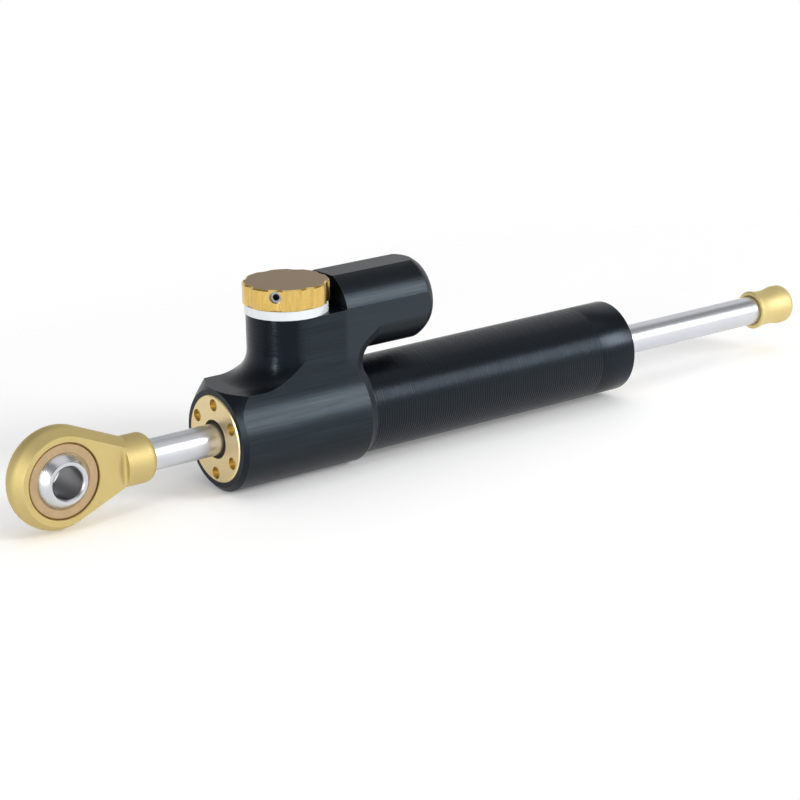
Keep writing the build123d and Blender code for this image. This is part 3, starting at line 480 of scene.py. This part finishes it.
# The socket is painted near black: painted shade.
GRUB_SOCKET_PAINTED_SHADE = (0.05, 0.05, 0.055)
GRUB_ROUGH = 0.22, 0.34
GRUB_BUMP = 0.08, 0.02 * MM
GRUB_TURN = radians(-138)
GRUB_Z = KNOB_HIGH.z - 1.9 * MM
GRUB_SOCKET_R = 0.80 * MM, 0.95 * MM
GRUB_GRAIN_DENSITY = 3000.0


def grub_steel():
    """A grey rim round a socket painted dark: painted shade in the recess."""
    n = Nodes("grub_steel")
    x, y, z = n.split(n.place)
    from_x = n.math("SUBTRACT", x, KNOB_X)
    across = n.math("SUBTRACT", n.times(y, cos(GRUB_TURN)), n.times(from_x, sin(GRUB_TURN)))
    radius = n.length(across, n.math("SUBTRACT", z, GRUB_Z))
    grain = n.noise(n.place, GRUB_GRAIN_DENSITY, 2.0)
    socket = n.fall(radius, *GRUB_SOCKET_R)
    n.bump(grain, *GRUB_BUMP)
    # Painted shade: the socket gets the near black.
    dye_and_painted_lighting = n.mix(socket, n.mix(grain, *GRUB_RIM_DYES), GRUB_SOCKET_PAINTED_SHADE)
    return n.finish(dye_and_painted_lighting, n.vary(grain, *GRUB_ROUGH), METAL)


BRONZE_DYES = (0.42, 0.29, 0.16), (0.57, 0.42, 0.25)
BRONZE_ROUGH = 0.30, 0.44
BRONZE_BUMP = 0.12, 0.03 * MM
BRONZE_RING_DENSITY = 4500.0
BRONZE_MOTTLE_DENSITY = 900.0


def bronze():
    """Mottled, with rings round the eye's axis."""
    n = Nodes("bronze")
    x, y, z = n.split(n.place)
    radius = n.length(n.math("SUBTRACT", x, EYE_X), z)
    rings = n.lines(2.0, (radius, BRONZE_RING_DENSITY), (y, BRONZE_RING_DENSITY))
    mottle = n.noise(n.place, BRONZE_MOTTLE_DENSITY, 4.0)
    n.bump(n.math("ADD", rings, mottle), *BRONZE_BUMP)
    return n.finish(n.mix(mottle, *BRONZE_DYES), n.vary(rings, *BRONZE_ROUGH), METAL)


# Plastics and rubber
MOULD_GRAIN_DENSITY = 900.0
MOULD_BUMP = 0.10, 0.03 * MM


def moulded(name, dyes, rough):
    """A fine moulded grain."""
    n = Nodes(name)
    grain = n.noise(n.place, MOULD_GRAIN_DENSITY, 3.0)
    n.bump(grain, *MOULD_BUMP)
    return n.finish(n.mix(grain, *dyes), n.vary(grain, *rough), NOT_METAL)


paint(black_housing(), "housing")
paint(blasted_gold("eye_gold", dyes=((0.55, 0.44, 0.185), (0.62, 0.51, 0.24))), "rod_end_eye")
# The cap's gold is a lighter copy of the eye's: painted light.
paint(blasted_gold("cap_gold_painted_light", dyes=((0.66, 0.54, 0.25), (0.74, 0.62, 0.31))), "end_cap")
paint(knob_gold(), "adjuster_knob")
paint(gland_gold(), "front_gland", "rear_gland")
paint(polished("rod_chrome", base=(0.66, 0.675, 0.72), rough=(0.28, 0.36), density=6000.0), "rod")
paint(ball_steel(), "bearing_ball", "detent_ball")
paint(grub_steel(), "knob_grub_screw")
paint(bronze(), "bearing_race", "front_guide_bush", "rear_guide_bush")
paint(moulded("ring_plastic", dyes=((0.74, 0.79, 0.82), (0.80, 0.84, 0.87)), rough=(0.32, 0.42)),
      "knob_ring")
paint(moulded("band_plastic", dyes=((0.14, 0.22, 0.19), (0.20, 0.29, 0.25)), rough=(0.4, 0.5)),
      "piston_band")
paint(moulded("rubber", dyes=((0.012, 0.012, 0.013), (0.022, 0.022, 0.023)), rough=(0.5, 0.65)),
      "front_wiper", "rear_wiper", "front_rod_seal", "rear_rod_seal",
      "front_gland_o_ring", "rear_gland_o_ring", "spindle_o_ring", "cartridge_o_rings",
      "reservoir_o_ring", "compensator_o_ring")
paint(polished("dark_steel", base=(0.42, 0.43, 0.45), rough=(0.22, 0.32)),
      "adjuster_spindle", "adjuster_needle", "piston_clips", "reservoir_snap_ring",
      "compensator_spring", "detent_spring")
paint(polished("plain_aluminium", base=(0.70, 0.71, 0.73), rough=(0.25, 0.36)),
      "inner_tube", "piston", "reservoir_cap", "compensator_piston")
paint(polished("valve_brass", base=(0.70, 0.52, 0.25), rough=(0.22, 0.32)), "valve_cartridge")

CAD_SHARP_ANGLE = radians(28)
for cad_node in nodes.values():
    cad_node.data.shade_smooth()
    cad_node.data.set_sharp_from_angle(angle=CAD_SHARP_ANGLE)


# The tube's fine turned grooves, which stop short of its plain end
HOUSING_END = -43.25 * MM
TUBE_BORE_R = 10.64 * MM
TUBE_SPIGOT_R = 11.90 * MM
TUBE_BREAK = 0.5 * MM
TUBE_STEPS = 144
GLAND_SEAT_R = 11.02 * MM
GLAND_FLANGE = 3.0 * MM
PLAIN_END = 11.5 * MM
GROOVE_PITCH = 0.75 * MM
GROOVE_DEPTH = 0.07 * MM
GROOVE_STEPS = 4
GROOVE_SHARP_ANGLE = radians(38)
LAND_SHARE = 0.45


def lathe(name, outline, count):
    """A closed outline of places on X and radii, turned round the rod's axis."""
    points, faces = [], []
    for place, radius in outline:
        for step in range(count):
            angle = 2 * pi * step / count
            points.append((place, radius * cos(angle), radius * sin(angle)))
    for ring in range(len(outline)):
        here, there = ring * count, (ring + 1) % len(outline) * count
        for step in range(count):
            beside = (step + 1) % count
            faces.append((here + step, here + beside, there + beside, there + step))
    mesh = bpy.data.meshes.new(name)
    mesh.from_pydata(points, [], faces)
    mesh.validate()
    mesh.shade_smooth()
    mesh.set_sharp_from_angle(angle=GROOVE_SHARP_ANGLE)
    piece = bpy.data.objects.new(name, mesh)
    bpy.context.scene.collection.objects.link(piece)
    return piece


def grooved_outline():
    """The tube's section: spigot, grooved length, plain end, and the seat of the rear gland."""
    start, end = TUBE_LOW.x, TUBE_HIGH.x
    seat = end - GLAND_FLANGE
    outline = [(start, TUBE_BORE_R), (start, TUBE_SPIGOT_R), (HOUSING_END, TUBE_SPIGOT_R)]
    groove_count = round((end - PLAIN_END - HOUSING_END) / GROOVE_PITCH)
    for groove in range(groove_count):
        outline.append((HOUSING_END + groove * GROOVE_PITCH, TUBE_R))
        for step in range(GROOVE_STEPS):
            share = step / GROOVE_STEPS
            depth = GROOVE_DEPTH * (1 - cos(2 * pi * share)) / 2
            place = groove + LAND_SHARE + (1 - LAND_SHARE) * share
            outline.append((HOUSING_END + place * GROOVE_PITCH, TUBE_R - depth))
    outline += [(HOUSING_END + groove_count * GROOVE_PITCH, TUBE_R), (end - TUBE_BREAK, TUBE_R),
                (end, TUBE_R - TUBE_BREAK), (end, GLAND_SEAT_R),
                (seat, GLAND_SEAT_R), (seat, TUBE_BORE_R)]
    return outline


tube = lathe("grooved_tube", grooved_outline(), TUBE_STEPS)
tube.data.materials.append(black_tube())
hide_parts("damper_tube")
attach(tube, "damper_body")


# The compensator's coils between the piston and the reservoir's cap: a copy of the spring, put in
# its place
coils = bpy.data.objects.new("compensator_coils", nodes["compensator_spring"].data.copy())
coils.matrix_world = nodes["compensator_spring"].matrix_world.copy()
bpy.context.scene.collection.objects.link(coils)
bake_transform(coils)
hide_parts("compensator_spring")


# Floor, world and lamps
WHITE = (1.0, 1.0, 1.0)
FLOOR_REACH = 4.0
FLOOR_TONE = (0.95, 0.95, 0.95)
FLOOR_ROUGH = 0.7
FLOOR_SPECULAR = 0.3
FLOOR_GLOW = 0.12
# The floor fades between these distances from a line along X, which reaches this far each way
FLOOR_FADE = 0.06, 0.19
FLOOR_AXIS_REACH = 0.10
# Heights of a direction, and how bright metal sees the sky at them
SKY_HEIGHTS = 0.10, 0.60
SKY_SHOWN = 1.0, 0.27
SKY_FILL = 0.48
LAMP_AIM = Vector((-0.04, 0.0, 0.0))


def stage_floor():
    """A white floor that keeps the shadow, and fades out away from the object's axis."""
    mesh = bpy.data.meshes.new("floor")
    far = FLOOR_REACH
    corners = [(-far, -far), (far, -far), (far, far), (-far, far)]
    mesh.from_pydata([(*corner, FLOOR_Z) for corner in corners], [], [(0, 1, 2, 3)])
    floor = bpy.data.objects.new("floor", mesh)
    bpy.context.scene.collection.objects.link(floor)
    n = Nodes("floor_white")
    x, y, z = n.split(n.place)
    past_end = n.math("SUBTRACT", n.math("ABSOLUTE", x), FLOOR_AXIS_REACH)
    from_axis = n.length(n.math("MAXIMUM", past_end, 0.0), y)
    n.put("Alpha", n.fall(from_axis, *FLOOR_FADE))
    n.put("Emission Color", WHITE)
    n.put("Emission Strength", n.times(n.seen(), FLOOR_GLOW))
    n.put("Specular IOR Level", FLOOR_SPECULAR)
    mesh.materials.append(n.finish(FLOOR_TONE, FLOOR_ROUGH, NOT_METAL))


def sky():
    """White behind the object; grey overhead in what metal shows; an even level for the rest."""
    world = bpy.data.worlds.new("studio")
    bpy.context.scene.world = world
    world.use_nodes = True
    tree = world.node_tree

    def node(kind, *sources):
        made = tree.nodes.new(kind)
        for socket, source in zip(made.inputs, sources):
            if isinstance(source, bpy.types.NodeSocket):
                tree.links.new(source, socket)
            else:
                socket.default_value = source
        return made

    def choose(share, otherwise, chosen):
        return node("ShaderNodeMapRange", share, 0.0, 1.0, otherwise, chosen).outputs[0]

    paths = tree.nodes.new("ShaderNodeLightPath").outputs
    direction = tree.nodes.new("ShaderNodeTexCoord").outputs["Generated"]
    height = node("ShaderNodeSeparateXYZ", direction).outputs[2]
    shown = node("ShaderNodeMapRange", height, *SKY_HEIGHTS, *SKY_SHOWN).outputs[0]
    shiny = node("ShaderNodeMath", paths["Is Glossy Ray"], paths["Is Transmission Ray"])
    shiny.operation = "MAXIMUM"
    seen = choose(paths["Is Camera Ray"], choose(shiny.outputs[0], SKY_FILL, shown), 1.0)
    background = tree.nodes["Background"]
    background.inputs["Color"].default_value = colour(WHITE)
    tree.links.new(seen, background.inputs["Strength"])


def lamp(name, azimuth, elevation, distance, size, power):
    """A soft box aimed at the housing."""
    away = outward(radians(azimuth), radians(elevation))
    data = bpy.data.lights.new(name, "AREA")
    data.shape = "RECTANGLE"
    data.size, data.size_y = size
    data.energy = power
    light = bpy.data.objects.new(name, data)
    light.location = LAMP_AIM + away * distance
    light.rotation_euler = (-away).to_track_quat("-Z", "Y").to_euler()
    bpy.context.scene.collection.objects.link(light)


stage_floor()
sky()
lamp("front_right_box", azimuth=36, elevation=25, distance=1.0, size=(0.30, 0.38), power=5.4)
lamp("left_strip", azimuth=-70, elevation=14, distance=0.9, size=(0.11, 0.40), power=3.3)
lamp("back_right_box", azimuth=125, elevation=38, distance=1.0, size=(0.60, 0.50), power=0.55)
lamp("top_box", azimuth=20, elevation=80, distance=1.1, size=(1.0, 1.0), power=2.2)
bpy.context.scene.view_settings.view_transform = "Standard"
